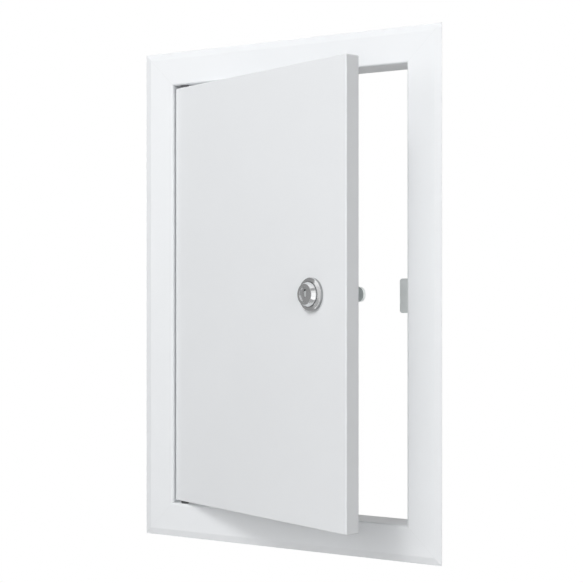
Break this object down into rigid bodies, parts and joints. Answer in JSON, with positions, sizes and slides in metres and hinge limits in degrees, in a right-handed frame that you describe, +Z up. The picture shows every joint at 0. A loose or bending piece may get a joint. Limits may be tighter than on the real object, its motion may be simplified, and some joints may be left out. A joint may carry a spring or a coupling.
{
  "type": "access panel",
  "caption": "Steel wall access panel: mitred, bevelled frame around an opening, folded sheet leaf hinged on pivot pins, round key lock with cam and keeper.",
  "frame": {"origin": "on the flat back of the bottom rail's flange, halfway along the rail", "axes": "+X to the lock side as seen from in front, +Y into the wall, +Z up"},
  "size_m": [0.3, 0.1054, 0.45],
  "materials": {
    "frame_paint": "white powder coat, satin",
    "leaf_paint": "white powder coat, satin",
    "zinc": "zinc-plated steel",
    "lock_chrome": "polished chrome on zinc alloy",
    "spacer_nylon": "moulded nylon, dark grey"
  },
  "bodies": {
    "frame": {"top_rail": "frame_paint", "bottom_rail": "frame_paint", "hinge_stile": "frame_paint", "lock_stile": "frame_paint", "keeper": "zinc", "upper_pivot_pin": "zinc", "lower_pivot_pin": "zinc", "upper_spacer": "spacer_nylon", "lower_spacer": "spacer_nylon"},
    "leaf": {"door_leaf": "leaf_paint", "lock_housing": "lock_chrome", "lock_nut": "zinc"},
    "lock_core": {"lock_plug": "lock_chrome", "lock_cam": "zinc", "cam_washer": "zinc", "cam_screw": "zinc"}
  },
  "joints": [
    {"name": "leaf_hinge", "type": "hinge", "parent": "frame", "child": "leaf", "pos_m": [-0.1085, 0.0038, 0.2075], "axis": [0, 0, -1], "range_deg": [-20, 90]},
    {"name": "lock_turn", "type": "hinge", "parent": "leaf", "child": "lock_core", "pos_m": [0.06246, -0.06374, 0.2075], "axis": [0.342, 0.9397, 0], "range_deg": [0, 90]}
  ]
}
